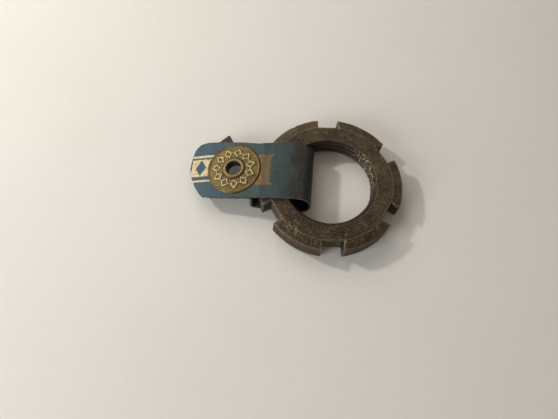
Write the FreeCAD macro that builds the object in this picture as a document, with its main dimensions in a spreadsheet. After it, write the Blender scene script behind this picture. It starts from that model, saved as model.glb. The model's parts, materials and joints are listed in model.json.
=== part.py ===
"""Slotted ring nut with a looped tape tag, closed by an embossed eyelet.

Frame: the origin is the centre of the nut's bottom face, +Z is the nut's axis, pointing out of
the crowned face. The tag lies over the nut's -X side. All sizes are in millimetres and degrees.
"""

import FreeCAD, Part
import math
import os
import re
import Sketcher

Vector = FreeCAD.Vector
Rotation = FreeCAD.Rotation
Placement = FreeCAD.Placement

# alias, value, meaning
DIMENSIONS = [
    ("nut_dia", 38.0, "nut: diameter over the teeth"),
    ("nut_height", 5.6, "nut: thickness"),
    ("crown_dia", 32.8, "nut: diameter where the top face starts to slope"),
    ("crown_drop", 0.65, "nut: fall of the sloping teeth from there to the rim"),
    ("rim_chamfer", 0.3, "nut: chamfer round the bottom of the rim"),
    ("thread_dia", 24.0, "thread: nominal diameter"),
    ("thread_minor_dia", 22.38, "thread: diameter over the crests"),
    ("thread_pitch", 1.5, "thread: pitch"),
    ("mouth_dia", 24.5, "thread: diameter of the chamfer at each mouth"),
    ("notch_count", 6, "notches: number round the rim"),
    ("notch_width", 5.3, "notches: width"),
    ("notch_depth", 2.74, "notches: depth from the rim"),
    ("notch_turn", 30.0, "notches: angle of the first one from +X"),
    ("strap_width", 15.8, "strip: width"),
    ("strap_thick", 0.6, "strip: thickness"),
    ("strap_offset", 1.1, "strip: centre line's distance beside the nut's axis"),
    ("tag_turn", 5.0, "strip: angle of its run from the -X direction"),
    ("face_gap", 0.15, "strip: gap over and under the nut's faces"),
    ("bore_gap", 0.35, "strip: gap to the thread's crests"),
    ("fold_reach", 4.6, "strip: distance from the nut's axis to the outside of the fold"),
    ("flex_reach", 17.9, "strip: distance from the nut's axis to the flex line"),
    ("flex_gap", 0.25, "strip: gap between the two parts at the flex line"),
    ("slack_gap", 1.4, "strip: gap in the lower run that the flex needs"),
    ("lower_reach", 17.0, "strip: where the loop's lower run ends"),
    ("ramp_slope", 12.0, "strip: slope of the tag down to the table"),
    ("face_length", 19.6, "strip: length of the face layer, along the slope"),
    ("layer_gap", 0.02, "strip: gap between pieces that are clamped together"),
    ("round_corner", 5.0, "strip: radius of the face layer's rounded corner"),
    ("clip_along", 4.2, "strip: cut corner of the face layer, along the strip"),
    ("clip_across", 6.2, "strip: cut corner of the face layer, across the strip"),
    ("bulge_reach", 20.4, "strip: distance from the nut's axis to the back layer's bulge"),
    ("bulge_radius", 1.7, "strip: outside radius of the bulge's lower bend"),
    ("crease_radius", 0.92, "strip: outside radius of the crease under the face layer"),
    ("back_end", 13.2, "strip: end of the back layer, along the slope from the flex line"),
    ("ear_start", 8.4, "strip: where the back layer's spread corner begins, along the slope"),
    ("ear_tip", 10.5, "strip: where that corner's tip is, along the slope"),
    ("ear", 2.3, "strip: how far that corner stands out"),
    ("eyelet_reach", 25.3, "eyelet: distance from the nut's axis"),
    ("disc_dia", 14.2, "face disc: diameter"),
    ("disc_thick", 0.45, "face disc: sheet thickness"),
    ("disc_bead", 0.25, "face disc: height of its rim bead"),
    ("disc_bead_width", 0.6, "face disc: width of its rim bead"),
    ("eyelet_bore", 3.8, "eyelet: bore"),
    ("eyelet_wall", 0.35, "eyelet: wall of the tube"),
    ("flange_dia", 6.2, "eyelet: diameter of its rolled flanges"),
    ("flange_thick", 0.45, "eyelet: height of its rolled flanges"),
    ("hole_gap", 0.05, "eyelet: radial gap in the pieces that it passes through"),
    ("washer_dia", 7.6, "back washer: diameter"),
    ("washer_thick", 0.4, "back washer: thickness"),
]

ALIASES = {alias for alias, value, meaning in DIMENSIONS}

doc = FreeCAD.newDocument("tagged_ring_nut")
dims = doc.addObject("Spreadsheet::Sheet", "dims")
for row, (alias, value, meaning) in enumerate(DIMENSIONS, start=1):
    dims.set(f"A{row}", meaning)
    dims.set(f"B{row}", str(value))
    dims.setAlias(f"B{row}", alias)
doc.recompute()


def size(alias):
    """A dimension as a number, read back from the sheet."""
    return float(dims.get(alias))


def expression(text):
    """Turns the sheet's names in a formula into references to its cells."""
    return re.sub(r"[a-z_]+", lambda m: "dims." + m[0] if m[0] in ALIASES else m[0], text)


def bind(item, **settings):
    """Sets properties of an object from expressions over the sheet."""
    for name, text in settings.items():
        item.setExpression(name.replace("__", "."), expression(text))
    return item


# ---------------------------------------------------------------- sketches


def outline(sketch, corners):
    """Closed straight-sided outline; each corner is a pair of expressions for x and y."""
    count = len(corners)
    turn = 2 * math.pi / count
    rough = [Vector(math.cos(turn * i), math.sin(turn * i), 0) for i in range(count)]
    first = len(sketch.Geometry)
    for i in range(count):
        sketch.addGeometry(Part.LineSegment(rough[i], rough[(i + 1) % count]))
    for i in range(count):
        following = first + (i + 1) % count
        sketch.addConstraint(Sketcher.Constraint("Coincident", first + i, 2, following, 1))
    for i, (across, up) in enumerate(corners):
        pin(sketch, first + i, 1, across, up, rough[i])


def pin(sketch, geometry, point, across, up, rough):
    """Ties a point of a sketch to expressions for its distances from the sketch's origin."""
    for kind, text, value in (("DistanceX", across, rough.x), ("DistanceY", up, rough.y)):
        index = sketch.addConstraint(
            Sketcher.Constraint(kind, -1, 1, geometry, point, value)
        )
        sketch.setExpression(f"Constraints[{index}]", expression(text))


def circle(sketch, across, up, diameter):
    """Circle with its centre and diameter tied to expressions."""
    centre = Vector(1, 1, 0)
    index = sketch.addGeometry(Part.Circle(centre, Vector(0, 0, 1), 1))
    pin(sketch, index, 3, across, up, centre)
    last = sketch.addConstraint(Sketcher.Constraint("Diameter", index, 2))
    sketch.setExpression(f"Constraints[{last}]", expression(diameter))


def body_sketch(body, name, role):
    """Sketch on one of a body's own origin planes."""
    plane = next(o for o in body.Origin.OriginFeatures if o.Role == role)
    sketch = body.newObject("Sketcher::SketchObject", name)
    sketch.AttachmentSupport = (plane, [""])
    sketch.MapMode = "FlatFace"
    return sketch


def body_axis(body, role):
    """Reference to one of a body's own origin axes."""
    return (next(o for o in body.Origin.OriginFeatures if o.Role == role), [""])


def turned_body(name, corners):
    """PartDesign body made by turning a half section, given as (radius, height) pairs."""
    body = doc.addObject("PartDesign::Body", name)
    section = body_sketch(body, name + "_section", "XZ_Plane")
    outline(section, corners)
    turned = body.newObject("PartDesign::Revolution", name + "_turned")
    turned.Profile = section
    turned.ReferenceAxis = body_axis(body, "Z_Axis")
    turned.Angle = 360
    doc.recompute()
    return body


# ---------------------------------------------------------------- ring nut


def make_ring_nut():
    """Ring with crowned teeth, six milled notches and a cut internal thread."""
    rim, crown, crest, mouth = (
        "nut_dia / 2",
        "crown_dia / 2",
        "thread_minor_dia / 2",
        "mouth_dia / 2",
    )
    mouth_depth = "( mouth_dia - thread_minor_dia ) / 2"
    body = turned_body(
        "ring_nut",
        [
            (mouth, "0"),
            (rim + " - rim_chamfer", "0"),
            (rim, "rim_chamfer"),
            (rim, "nut_height - crown_drop"),
            (crown, "nut_height"),
            (mouth, "nut_height"),
            (crest, "nut_height - " + mouth_depth),
            (crest, mouth_depth),
        ],
    )
    blank_volume = body.Shape.Volume

    notch = body_sketch(body, "notch_outline", "XY_Plane")
    half_width = "notch_width / 2"
    floor, past_rim = rim + " - notch_depth", rim + " + notch_depth"
    outline(
        notch,
        [
            (floor, "0 - " + half_width),
            (past_rim, "0 - " + half_width),
            (past_rim, half_width),
            (floor, half_width),
        ],
    )
    cut = body.newObject("PartDesign::Pocket", "notch_cut")
    cut.Profile = notch
    cut.Type = "ThroughAll"
    cut.Midplane = True
    around = body.newObject("PartDesign::PolarPattern", "notches")
    around.Originals = [cut]
    around.Axis = body_axis(body, "Z_Axis")
    around.Angle = 360
    bind(around, Occurrences="notch_count")
    body.Tip = around
    doc.recompute()
    notched_volume = body.Shape.Volume

    # 60 degree thread form: the groove is 3/4 of a pitch wide at the crests and 1/8 at the root.
    form = body_sketch(body, "thread_form", "XZ_Plane")
    inner = crest + " - 0.1 * thread_pitch"
    wide, narrow = "0.43 * thread_pitch", "thread_pitch / 16"
    root = "thread_dia / 2"
    outline(
        form,
        [
            (inner, "0 - thread_pitch - " + wide),
            (root, "0 - thread_pitch - " + narrow),
            (root, "0 - thread_pitch + " + narrow),
            (inner, "0 - thread_pitch + " + wide),
        ],
    )
    thread = body.newObject("PartDesign::SubtractiveHelix", "thread")
    thread.Profile = form
    thread.ReferenceAxis = body_axis(body, "Z_Axis")
    thread.Mode = 0
    bind(thread, Pitch="thread_pitch", Height="nut_height + 2 * thread_pitch")
    body.Tip = thread
    doc.recompute()
    for less, more, what in (
        (notched_volume, blank_volume, "notches"),
        (body.Shape.Volume, notched_volume, "thread"),
    ):
        if not less < more - 1:
            raise RuntimeError(f"the {what} cut nothing from the nut")
    body.Placement = Placement(Vector(), Rotation(Vector(0, 0, 1), size("notch_turn")))
    return body


# ---------------------------------------------------------------- tag strip

# Places on the tag are worked out in the tag's own frame: its run is along -X, and the whole tag
# is then turned about the nut's axis.
TAG = Placement(Vector(), Rotation(Vector(0, 0, 1), -size("tag_turn")))
TOP_OUTSIDE = "nut_height + face_gap + strap_thick"
LOW_OUTSIDE = "( face_gap + strap_thick )"
FOLD_RADIUS = "( nut_height + 2 * face_gap + 2 * strap_thick ) / 2"
STRIP_EDGE = "strap_offset - strap_width / 2"


def box(name, low_x, high_x, low_z, high_z):
    """Straight run of strip between two places along X and two heights."""
    item = doc.addObject("Part::Box", name)
    return bind(
        item,
        Length=f"( {high_x} ) - ( {low_x} )",
        Width="strap_width",
        Height=f"( {high_z} ) - ( {low_z} )",
        Placement__Base__x=low_x,
        Placement__Base__y=STRIP_EDGE,
        Placement__Base__z=low_z,
    )


def bend(name, centre_x, centre_z, start, sweep, radius):
    """Bent run of strip: part of a tube lying across it.

    start is the angle from +X towards -Z, and radius is the outside one.
    """
    tubes = []
    across = Rotation(Vector(1, 0, 0), -90) * Rotation(Vector(0, 0, 1), start)
    for part, wall in (("outside", "0"), ("inside", "strap_thick")):
        tube = doc.addObject("Part::Cylinder", f"{name}_{part}")
        tube.Placement = Placement(Vector(), across)
        bind(
            tube,
            Radius=f"( {radius} ) - {wall}",
            Height="strap_width",
            Angle=sweep,
            Placement__Base__x=centre_x,
            Placement__Base__y=STRIP_EDGE,
            Placement__Base__z=centre_z,
        )
        tubes.append(tube)
    shell = doc.addObject("Part::Cut", name)
    shell.Base, shell.Tool = tubes
    return shell


def joined(name, pieces):
    """One solid from runs of strip that meet."""
    whole = doc.addObject("Part::MultiFuse", name)
    whole.Shapes = pieces
    whole.Refine = True
    return whole


def make_strap_loop():
    """Upper run, fold inside the bore and lower run, cut back where they would touch the bore."""
    fold_x = f"0 - fold_reach - {FOLD_RADIUS}"
    upper_end = "0 - flex_reach + flex_gap / 2"
    strip = joined(
        "loop_strip",
        [
            box("upper_run", upper_end, fold_x, "nut_height + face_gap", TOP_OUTSIDE),
            bend("fold", fold_x, "nut_height / 2", -90, "180", FOLD_RADIUS),
            box("lower_run", "0 - lower_reach", fold_x, f"0 - {LOW_OUTSIDE}", "0 - face_gap"),
        ],
    )
    reach = doc.addObject("Part::Cylinder", "nut_envelope")
    bind(
        reach,
        Radius="nut_dia",
        Height="nut_height + 2 * face_gap",
        Placement__Base__z="0 - face_gap",
    )
    passage = doc.addObject("Part::Cylinder", "bore_passage")
    bind(
        passage,
        Radius="thread_minor_dia / 2 - bore_gap",
        Height="nut_height + 2 * face_gap",
        Placement__Base__z="0 - face_gap",
    )
    envelope = doc.addObject("Part::Cut", "nut_clearance")
    envelope.Base, envelope.Tool = reach, passage
    loop = doc.addObject("Part::Cut", "strap_loop")
    loop.Base, loop.Tool = strip, envelope
    loop.Placement = TAG
    return loop


# Along the slope, from the flex line.
FLEX_START = "( flex_reach + flex_gap / 2 )"
EYELET_ALONG = f"( eyelet_reach - {FLEX_START} ) / cos(ramp_slope)"
EYELET_HOLE = "eyelet_bore + 2 * eyelet_wall + 2 * hole_gap"
LAYER_STEP = "( strap_thick + layer_gap )"
CREASE_MIDDLE = "( crease_radius - strap_thick / 2 )"
CREASE_X = "( 0 - bulge_reach - crease_radius + strap_thick )"


def on_slope():
    """Placement of the slope in the tag's frame, from the middle of the face layer's upper end."""
    start = Vector(-size("flex_reach") - size("flex_gap") / 2, size("strap_offset"), 0)
    start.z = size("nut_height") + size("face_gap") + size("strap_thick") / 2
    return Placement(start, Rotation(Vector(0, 1, 0), -size("ramp_slope")))


def slab(name, corners):
    """Flat layer of strip with the eyelet's hole, in its own frame.

    x is along the slope, y across the strip from its centre line, and z = 0 is the underside.
    """
    sketch = doc.addObject("Sketcher::SketchObject", name + "_outline")
    outline(sketch, corners)
    circle(sketch, f"0 - {EYELET_ALONG}", "0", EYELET_HOLE)
    layer = doc.addObject("Part::Extrusion", name + "_flat")
    layer.Base = sketch
    layer.DirMode = "Normal"
    layer.Solid = True
    return bind(layer, LengthFwd="strap_thick")


def make_face_layer():
    """Printed outer part of the strip: one corner of its end is round, the other cut off."""
    half = "strap_width / 2"
    end = "0 - face_length"
    flat = slab(
        "face_layer",
        [
            ("0", f"0 - {half}"),
            ("0", half),
            (end, half),
            (end, f"clip_across - {half}"),
            (f"{end} + clip_along", f"0 - {half}"),
        ],
    )
    block = doc.addObject("Part::Box", "corner_block")
    bind(
        block,
        Length="round_corner",
        Width="round_corner",
        Height="strap_thick",
        Placement__Base__x=end,
        Placement__Base__y=f"{half} - round_corner",
    )
    rounding = doc.addObject("Part::Cylinder", "corner_rounding")
    bind(
        rounding,
        Radius="round_corner",
        Height="strap_thick",
        Placement__Base__x=f"{end} + round_corner",
        Placement__Base__y=f"{half} - round_corner",
    )
    waste = doc.addObject("Part::Cut", "corner_waste")
    waste.Base, waste.Tool = block, rounding
    layer = doc.addObject("Part::Cut", "strap_face_layer")
    layer.Base, layer.Tool = flat, waste
    under = Placement(Vector(0, 0, -size("strap_thick") / 2), Rotation())
    layer.Placement = TAG * on_slope() * under
    return layer


def make_back_layer():
    """Inner part of the strip: out from under the nut, up past its rim, and back down the slope
    under the face layer, with one corner of its end spread out."""
    half = "strap_width / 2"
    below_face = f"( {LAYER_STEP} + {CREASE_MIDDLE} )"
    crease_offset = f"( {CREASE_X} + {FLEX_START} )"
    crease_z = (
        f"nut_height + face_gap + strap_thick / 2 + {crease_offset} * tan(ramp_slope)"
        f" - {below_face} / cos(ramp_slope)"
    )
    slab_start = f"{crease_offset} / cos(ramp_slope) - {below_face} * tan(ramp_slope)"
    flat = slab(
        "back_layer",
        [
            (slab_start, f"0 - {half}"),
            (slab_start, half),
            ("0 - ear_start", half),
            ("0 - ear_tip", f"{half} + ear"),
            ("0 - back_end", half),
            ("0 - back_end", f"0 - {half}"),
        ],
    )
    drop = size("strap_thick") * 1.5 + size("layer_gap")
    flat.Placement = on_slope() * Placement(Vector(0, 0, -drop), Rotation())
    bulge_x = "0 - bulge_reach + bulge_radius"
    bulge_z = f"bulge_radius - {LOW_OUTSIDE}"
    wall_x = "0 - bulge_reach"
    stub_end = "0 - lower_reach - slack_gap"
    layer = joined(
        "strap_back_layer",
        [
            box("stub", bulge_x, stub_end, f"0 - {LOW_OUTSIDE}", "0 - face_gap"),
            bend("bulge", bulge_x, bulge_z, 90, "90", "bulge_radius"),
            box("wall", wall_x, f"{wall_x} + strap_thick", bulge_z, crease_z),
            bend(
                "crease",
                CREASE_X,
                crease_z,
                -90 - size("ramp_slope"),
                "90 + ramp_slope",
                "crease_radius",
            ),
            flat,
        ],
    )
    layer.Placement = TAG
    return layer


# ---------------------------------------------------------------- eyelet

# Heights are along the eyelet's axis, from the upper surface of the face layer.
TUBE_OUTSIDE = "eyelet_bore / 2 + eyelet_wall"
DISC_TOP = "layer_gap + disc_thick"
WASHER_TOP = "0 - 2 * ( strap_thick + layer_gap )"
WASHER_LOW = f"{WASHER_TOP} - washer_thick"


def on_tag(body):
    """Puts an eyelet piece square to the slope, over the hole in the strip."""
    along = size("eyelet_reach") - size("flex_reach") - size("flex_gap") / 2
    along /= math.cos(math.radians(size("ramp_slope")))
    seat = Placement(Vector(-along, 0, size("strap_thick") / 2), Rotation())
    body.Placement = TAG * on_slope() * seat
    return body


def make_face_disc():
    """Flat brass disc with a raised bead round its rim."""
    hole, rim, bead_top = f"( {EYELET_HOLE} ) / 2", "disc_dia / 2", f"{DISC_TOP} + disc_bead"
    return on_tag(
        turned_body(
            "face_disc",
            [
                (hole, "layer_gap"),
                (rim, "layer_gap"),
                (rim, bead_top),
                (f"{rim} - disc_bead_width", bead_top),
                (f"{rim} - disc_bead_width", DISC_TOP),
                (hole, DISC_TOP),
            ],
        )
    )


def make_eyelet():
    """Brass tube with a flange rolled over the disc and one clinched under the washer."""
    bore, flange = "eyelet_bore / 2", "flange_dia / 2"
    upper, lower = f"{DISC_TOP} + layer_gap", f"{WASHER_LOW} - layer_gap"
    return on_tag(
        turned_body(
            "eyelet",
            [
                (bore, f"{lower} - flange_thick"),
                (flange, f"{lower} - flange_thick"),
                (flange, lower),
                (TUBE_OUTSIDE, lower),
                (TUBE_OUTSIDE, upper),
                (flange, upper),
                (flange, f"{upper} + flange_thick"),
                (bore, f"{upper} + flange_thick"),
            ],
        )
    )


def make_back_washer():
    """Plain brass washer on the back of the strip, under the eyelet's clinched end."""
    hole, rim = f"( {EYELET_HOLE} ) / 2", "washer_dia / 2"
    return on_tag(
        turned_body(
            "back_washer",
            [(hole, WASHER_LOW), (rim, WASHER_LOW), (rim, WASHER_TOP), (hole, WASHER_TOP)],
        )
    )


# ---------------------------------------------------------------- build and write

subparts = [
    make_ring_nut(),
    make_strap_loop(),
    make_face_layer(),
    make_back_layer(),
    make_face_disc(),
    make_eyelet(),
    make_back_washer(),
]
for subpart in subparts:
    subpart.Label = subpart.Name
doc.recompute()

for item in doc.Objects:
    if "Invalid" in item.State or "Error" in item.State:
        raise RuntimeError(f"{item.Label} failed: {item.State}")
for subpart in subparts:
    shape = subpart.Shape
    if shape.isNull() or not shape.isValid() or len(shape.Solids) != 1:
        raise RuntimeError(f"{subpart.Label} is not one valid solid")

os.makedirs("parts", exist_ok=True)
for subpart in subparts:
    subpart.Shape.exportStep(f"parts/{subpart.Label}.step")
    reach = subpart.Shape.BoundBox
    print(f"{subpart.Label}: {subpart.Shape.Volume:.1f} mm3, z {reach.ZMin:.2f} to {reach.ZMax:.2f}")
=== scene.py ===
"""Looks of the slotted ring nut with its looped tape tag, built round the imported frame.

Shapes are worked out in millimetres and become metres as each mesh is made. The tag's pieces are
worked out in the tag's own frame: x along its run towards the nut, y across it, z up.
"""

import bpy
import json
import math
import numpy as np
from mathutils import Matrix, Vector, noise


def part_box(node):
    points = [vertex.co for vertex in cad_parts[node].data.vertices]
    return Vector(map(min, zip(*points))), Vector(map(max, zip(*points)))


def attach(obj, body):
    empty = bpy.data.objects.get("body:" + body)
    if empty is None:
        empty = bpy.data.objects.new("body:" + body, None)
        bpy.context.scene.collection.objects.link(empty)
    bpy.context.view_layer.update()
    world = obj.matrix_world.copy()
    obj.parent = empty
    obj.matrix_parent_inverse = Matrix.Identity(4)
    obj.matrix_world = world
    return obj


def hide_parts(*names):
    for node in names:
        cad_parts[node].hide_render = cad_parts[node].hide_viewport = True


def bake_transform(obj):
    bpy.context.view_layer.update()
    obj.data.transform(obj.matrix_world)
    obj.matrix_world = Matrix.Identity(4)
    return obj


MM = 0.001

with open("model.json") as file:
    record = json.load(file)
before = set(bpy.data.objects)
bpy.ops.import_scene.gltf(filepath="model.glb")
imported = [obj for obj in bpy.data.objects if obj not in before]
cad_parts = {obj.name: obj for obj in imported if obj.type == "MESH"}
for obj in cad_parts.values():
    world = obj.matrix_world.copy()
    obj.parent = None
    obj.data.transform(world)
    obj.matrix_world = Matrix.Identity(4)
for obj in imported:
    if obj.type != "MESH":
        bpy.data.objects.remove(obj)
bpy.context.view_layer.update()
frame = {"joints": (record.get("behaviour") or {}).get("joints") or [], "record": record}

# ---------------------------------------------------------------- places read from the frame

mounts = {mount["name"]: mount for mount in frame["record"]["mounts"]}
joints = {joint["name"]: joint for joint in frame["joints"]}


def in_mm(point):
    """A point or corner from the frame, as an array in millimetres."""
    return np.array(point, float) / MM


NUT_RADIUS = in_mm(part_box("ring_nut")[1])[0]
NUT_HEIGHT = in_mm(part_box("ring_nut")[1])[2]
NOTCH_MIDDLE = in_mm(mounts["spanner_notch"]["pos_m"])[1]
NOTCH_FLOOR = 2 * NOTCH_MIDDLE - NUT_RADIUS

TAG_ACROSS = np.array(joints["tag_flex"]["axis"])
TAG_ALONG = np.cross(TAG_ACROSS, (0, 0, 1))
TAG_AXES = np.array([TAG_ALONG, TAG_ACROSS, (0, 0, 1)])


def to_row(points):
    """From the tag's frame to the row's."""
    return np.asarray(points, float) @ TAG_AXES


def to_tag(points):
    """From the row's frame to the tag's."""
    return np.asarray(points, float) @ TAG_AXES.T


FLEX = to_tag(in_mm(joints["tag_flex"]["pos_m"]))
EYELET_AXIS = to_tag(mounts["eyelet_bore"]["axis"])
EYELET_MIDDLE = to_tag(in_mm(mounts["eyelet_bore"]["pos_m"]))
EYELET_BORE = mounts["eyelet_bore"]["dims"]["r_mm"]
SLOPE = math.atan2(-EYELET_AXIS[0], EYELET_AXIS[2])

# ---------------------------------------------------------------- dimensions

CROWN_RADIUS = 16.4
CROWN_DROP = 0.65
NOTCH_WIDTH = 5.3
THREAD_CREST = 11.19
THREAD_ROOT = 12.0
THREAD_PITCH = 1.5
THREAD_FLANK = 2.7
THREAD_FLAT = 0.2
MOUTH_RADIUS = 12.25

STRIP_WIDTH = 15.8
STRIP_THICK = 0.6
NUT_GAP = 0.15
FOLD_REACH = 4.9
FOLD_CORNER = 2.3
FACE_LENGTH = 19.6
BULGE_X = -20.1
BULGE_RADIUS = 1.4
CREASE_RADIUS = 0.62
LAYER_STEP = 0.62
BACK_LENGTH = 10.2
DROOP_LENGTH = 4.8
DROOP = 6.0
SLOPE_START = 0.125
HOLE_RADIUS = 2.3
HOLE_REACH = 2.6

DISC_RADIUS = 7.1
DISC_THICK = 0.45
FLANGE_RADIUS = 3.1
FLANGE_THICK = 0.45
WASHER_RADIUS = 3.8
WASHER_THICK = 0.4
HOLE_PLAY = 0.4
LAYER_GAP = 0.02

# ---------------------------------------------------------------- meshes


def outward(points, faces):
    """The faces, turned round if they enclose a negative volume."""
    a, b, c = (points[faces[:, i]] for i in range(3))
    volume = np.einsum("ij,ij->i", a, np.cross(b, c)).sum()
    if faces.shape[1] == 4:
        d = points[faces[:, 3]]
        volume += np.einsum("ij,ij->i", a, np.cross(c, d)).sum()
    return faces if volume > 0 else faces[:, ::-1]


def make_object(name, points, faces, **numbers):
    """Object from points in millimetres, in the row's frame. numbers are kept on its points."""
    points = np.asarray(points, float)
    mesh = bpy.data.meshes.new(name)
    mesh.from_pydata((points * MM).tolist(), [], outward(points, np.asarray(faces)).tolist())
    for key, values in numbers.items():
        kind, field = ("FLOAT", "value") if values.ndim == 1 else ("FLOAT_VECTOR", "vector")
        layer = mesh.attributes.new(key, kind, "POINT")
        layer.data.foreach_set(field, values.astype(np.float32).ravel())
    mesh.shade_smooth()
    item = bpy.data.objects.new(name, mesh)
    bpy.context.scene.collection.objects.link(item)
    return item


def grid_faces(rows, columns, close_rows=False, close_columns=False):
    """Quads of a grid of points stored row by row."""
    i, j = np.meshgrid(
        np.arange(rows if close_rows else rows - 1),
        np.arange(columns if close_columns else columns - 1),
        indexing="ij",
    )
    up, right = (i + 1) % rows, (j + 1) % columns
    corners = (i * columns + j, up * columns + j, up * columns + right, i * columns + right)
    return np.stack([corner.ravel() for corner in corners], axis=1)


def lumps(points, lump, seed):
    """Smooth noise from -1 to 1 at points, with lumps of a given size in millimetres."""
    shift = Vector((17.3, 5.1, 9.7)) * seed
    return np.array([noise.noise(Vector(p) + shift) for p in (np.asarray(points) / lump)])


def smooth_step(value, low, high):
    """0 below low, 1 above high, and a smooth step between."""
    t = np.clip((value - low) / (high - low), 0, 1)
    return t * t * (3 - 2 * t)


def point_normals(points, faces):
    """Unit normals of a closed mesh at its points, pointing out."""
    faces = outward(points, faces)
    a, b, c, d = (points[faces[:, corner]] for corner in range(4))
    across = np.cross(c - a, d - b)
    normals = np.zeros_like(points)
    for k in range(3):
        for corner in range(4):
            normals[:, k] += np.bincount(faces[:, corner], across[:, k], len(points))
    return normals / np.maximum(np.linalg.norm(normals, axis=1, keepdims=True), 1e-9)


def smoothed(values, faces, rounds):
    """Values at points, averaged with their neighbours' a number of times."""
    here = faces.ravel()
    there = np.roll(faces, -1, axis=1).ravel()
    i, j = np.concatenate([here, there]), np.concatenate([there, here])
    count = np.bincount(i, minlength=len(values))
    for _ in range(rounds):
        if values.ndim == 1:
            values = np.bincount(i, values[j], len(values)) / count
        else:
            columns = [np.bincount(i, values[j, k], len(values)) / count for k in range(3)]
            values = np.stack(columns, axis=1)
    return values


# ---------------------------------------------------------------- materials


class Look:
    """A material's nodes. Its places are in millimetres, in the object's own frame."""

    def __init__(self, name, **shader):
        self.material = bpy.data.materials.new(name)
        self.material.use_nodes = True
        self.tree = self.material.node_tree
        self.shader = self.tree.nodes["Principled BSDF"]
        self.set(self.shader, shader)
        place = self.node("ShaderNodeTexCoord").outputs["Object"]
        self.place = self.vector("SCALE", place, Scale=1 / MM)

    def set(self, node, inputs):
        """Gives sockets a value, or links another node's output to them."""
        for name, value in inputs.items():
            key = int(name[1:]) if name[0] == "_" else name.replace("_", " ")
            if isinstance(value, bpy.types.NodeSocket):
                self.tree.links.new(value, node.inputs[key])
            else:
                node.inputs[key].default_value = value

    def node(self, kind, settings=None, **inputs):
        """A new node with its settings and inputs; _0 means the first socket, _1 the second."""
        node = self.tree.nodes.new(kind)
        for name, value in (settings or {}).items():
            setattr(node, name, value)
        self.set(node, inputs)
        return node

    def math(self, operation, a, b=0.0, clamp=False):
        """A sum, product or other calculation with one or two numbers."""
        settings = {"operation": operation, "use_clamp": clamp}
        return self.node("ShaderNodeMath", settings, _0=a, _1=b).outputs[0]

    def vector(self, operation, a, **inputs):
        """A calculation with vectors."""
        return self.node("ShaderNodeVectorMath", {"operation": operation}, _0=a, **inputs).outputs[0]

    def grain(self, lump, detail=3.0, rough=0.55, place=None, seed=0.0):
        """Noise from 0 to 1 with lumps of a given size in millimetres."""
        return self.node(
            "ShaderNodeTexNoise",
            {"noise_dimensions": "4D"},
            Vector=place or self.place,
            W=seed,
            Scale=1 / lump,
            Detail=detail,
            Roughness=rough,
        ).outputs["Fac"]

    def cells(self, lump, place=None):
        """Distance to the nearest of scattered points, 0 at each point."""
        return self.node(
            "ShaderNodeTexVoronoi", Vector=place or self.place, Scale=1 / lump
        ).outputs["Distance"]

    def step(self, value, low, high, to_low=0.0, to_high=1.0):
        """A smooth step of a value, from low to high."""
        settings = {"interpolation_type": "SMOOTHSTEP"}
        return self.node(
            "ShaderNodeMapRange",
            settings,
            Value=value,
            From_Min=low,
            From_Max=high,
            To_Min=to_low,
            To_Max=to_high,
        ).outputs[0]

    def number(self, name):
        """A number kept on the mesh's points."""
        return self.node("ShaderNodeAttribute", {"attribute_name": name}).outputs["Fac"]

    def mix(self, share, a, b):
        """Colour a, turning to b as share goes from 0 to 1."""
        return self.node("ShaderNodeMix", {"data_type": "RGBA"}, _0=share, _6=a, _7=b).outputs[2]

    def bump(self, height, depth, normal=None):
        """Normal of a surface raised by height, from 0 to 1, times a depth in millimetres."""
        node = self.node("ShaderNodeBump", Strength=1.0, Distance=depth * MM, Height=height)
        if normal:
            self.set(node, {"Normal": normal})
        return node.outputs[0]

    def finish(self, **shader):
        """Sets or links the shader's sockets and returns the material."""
        self.set(self.shader, shader)
        return self.material


def srgb(red, green, blue):
    """A colour given in sRGB steps, each from 11 to 255."""
    return (*(((step / 255 + 0.055) / 1.055) ** 2.4 for step in (red, green, blue)), 1.0)


# ---------------------------------------------------------------- ring nut

VOXEL = 0.18
EDGE_ROUND = 0.14
TOP_ROUND = 0.05
NOTCH_ROUND = 0.2
THREAD_ROUND = 0.05
GOUGE_ROUND = 0.12
GOUGE_DEPTH = 0.75
SWELL = 0.05
FINE_SWELL = 0.03
PIT_DEPTH = 0.06
WEAR = 0.02
# angle in degrees and radius of the hammered tooth and of the nicked one, angle of the chipped
# thread, and the middle and spread in degrees of the painted glints on it
HAMMERED = (231.5, 17.3)
NICKED = (311.5, 17.4)
THREAD_WEAR = 33
PAINTED_GLINT = (27, 26)
RUSTY_SPOT = (-1.9, -15.3, NUT_HEIGHT)


def soft_max(a, b, width):
    """The larger of two distances, rounded where they meet."""
    overlap = np.maximum(width - np.abs(a - b), 0) / width
    return np.maximum(a, b) + overlap**2 * width / 4


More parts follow.
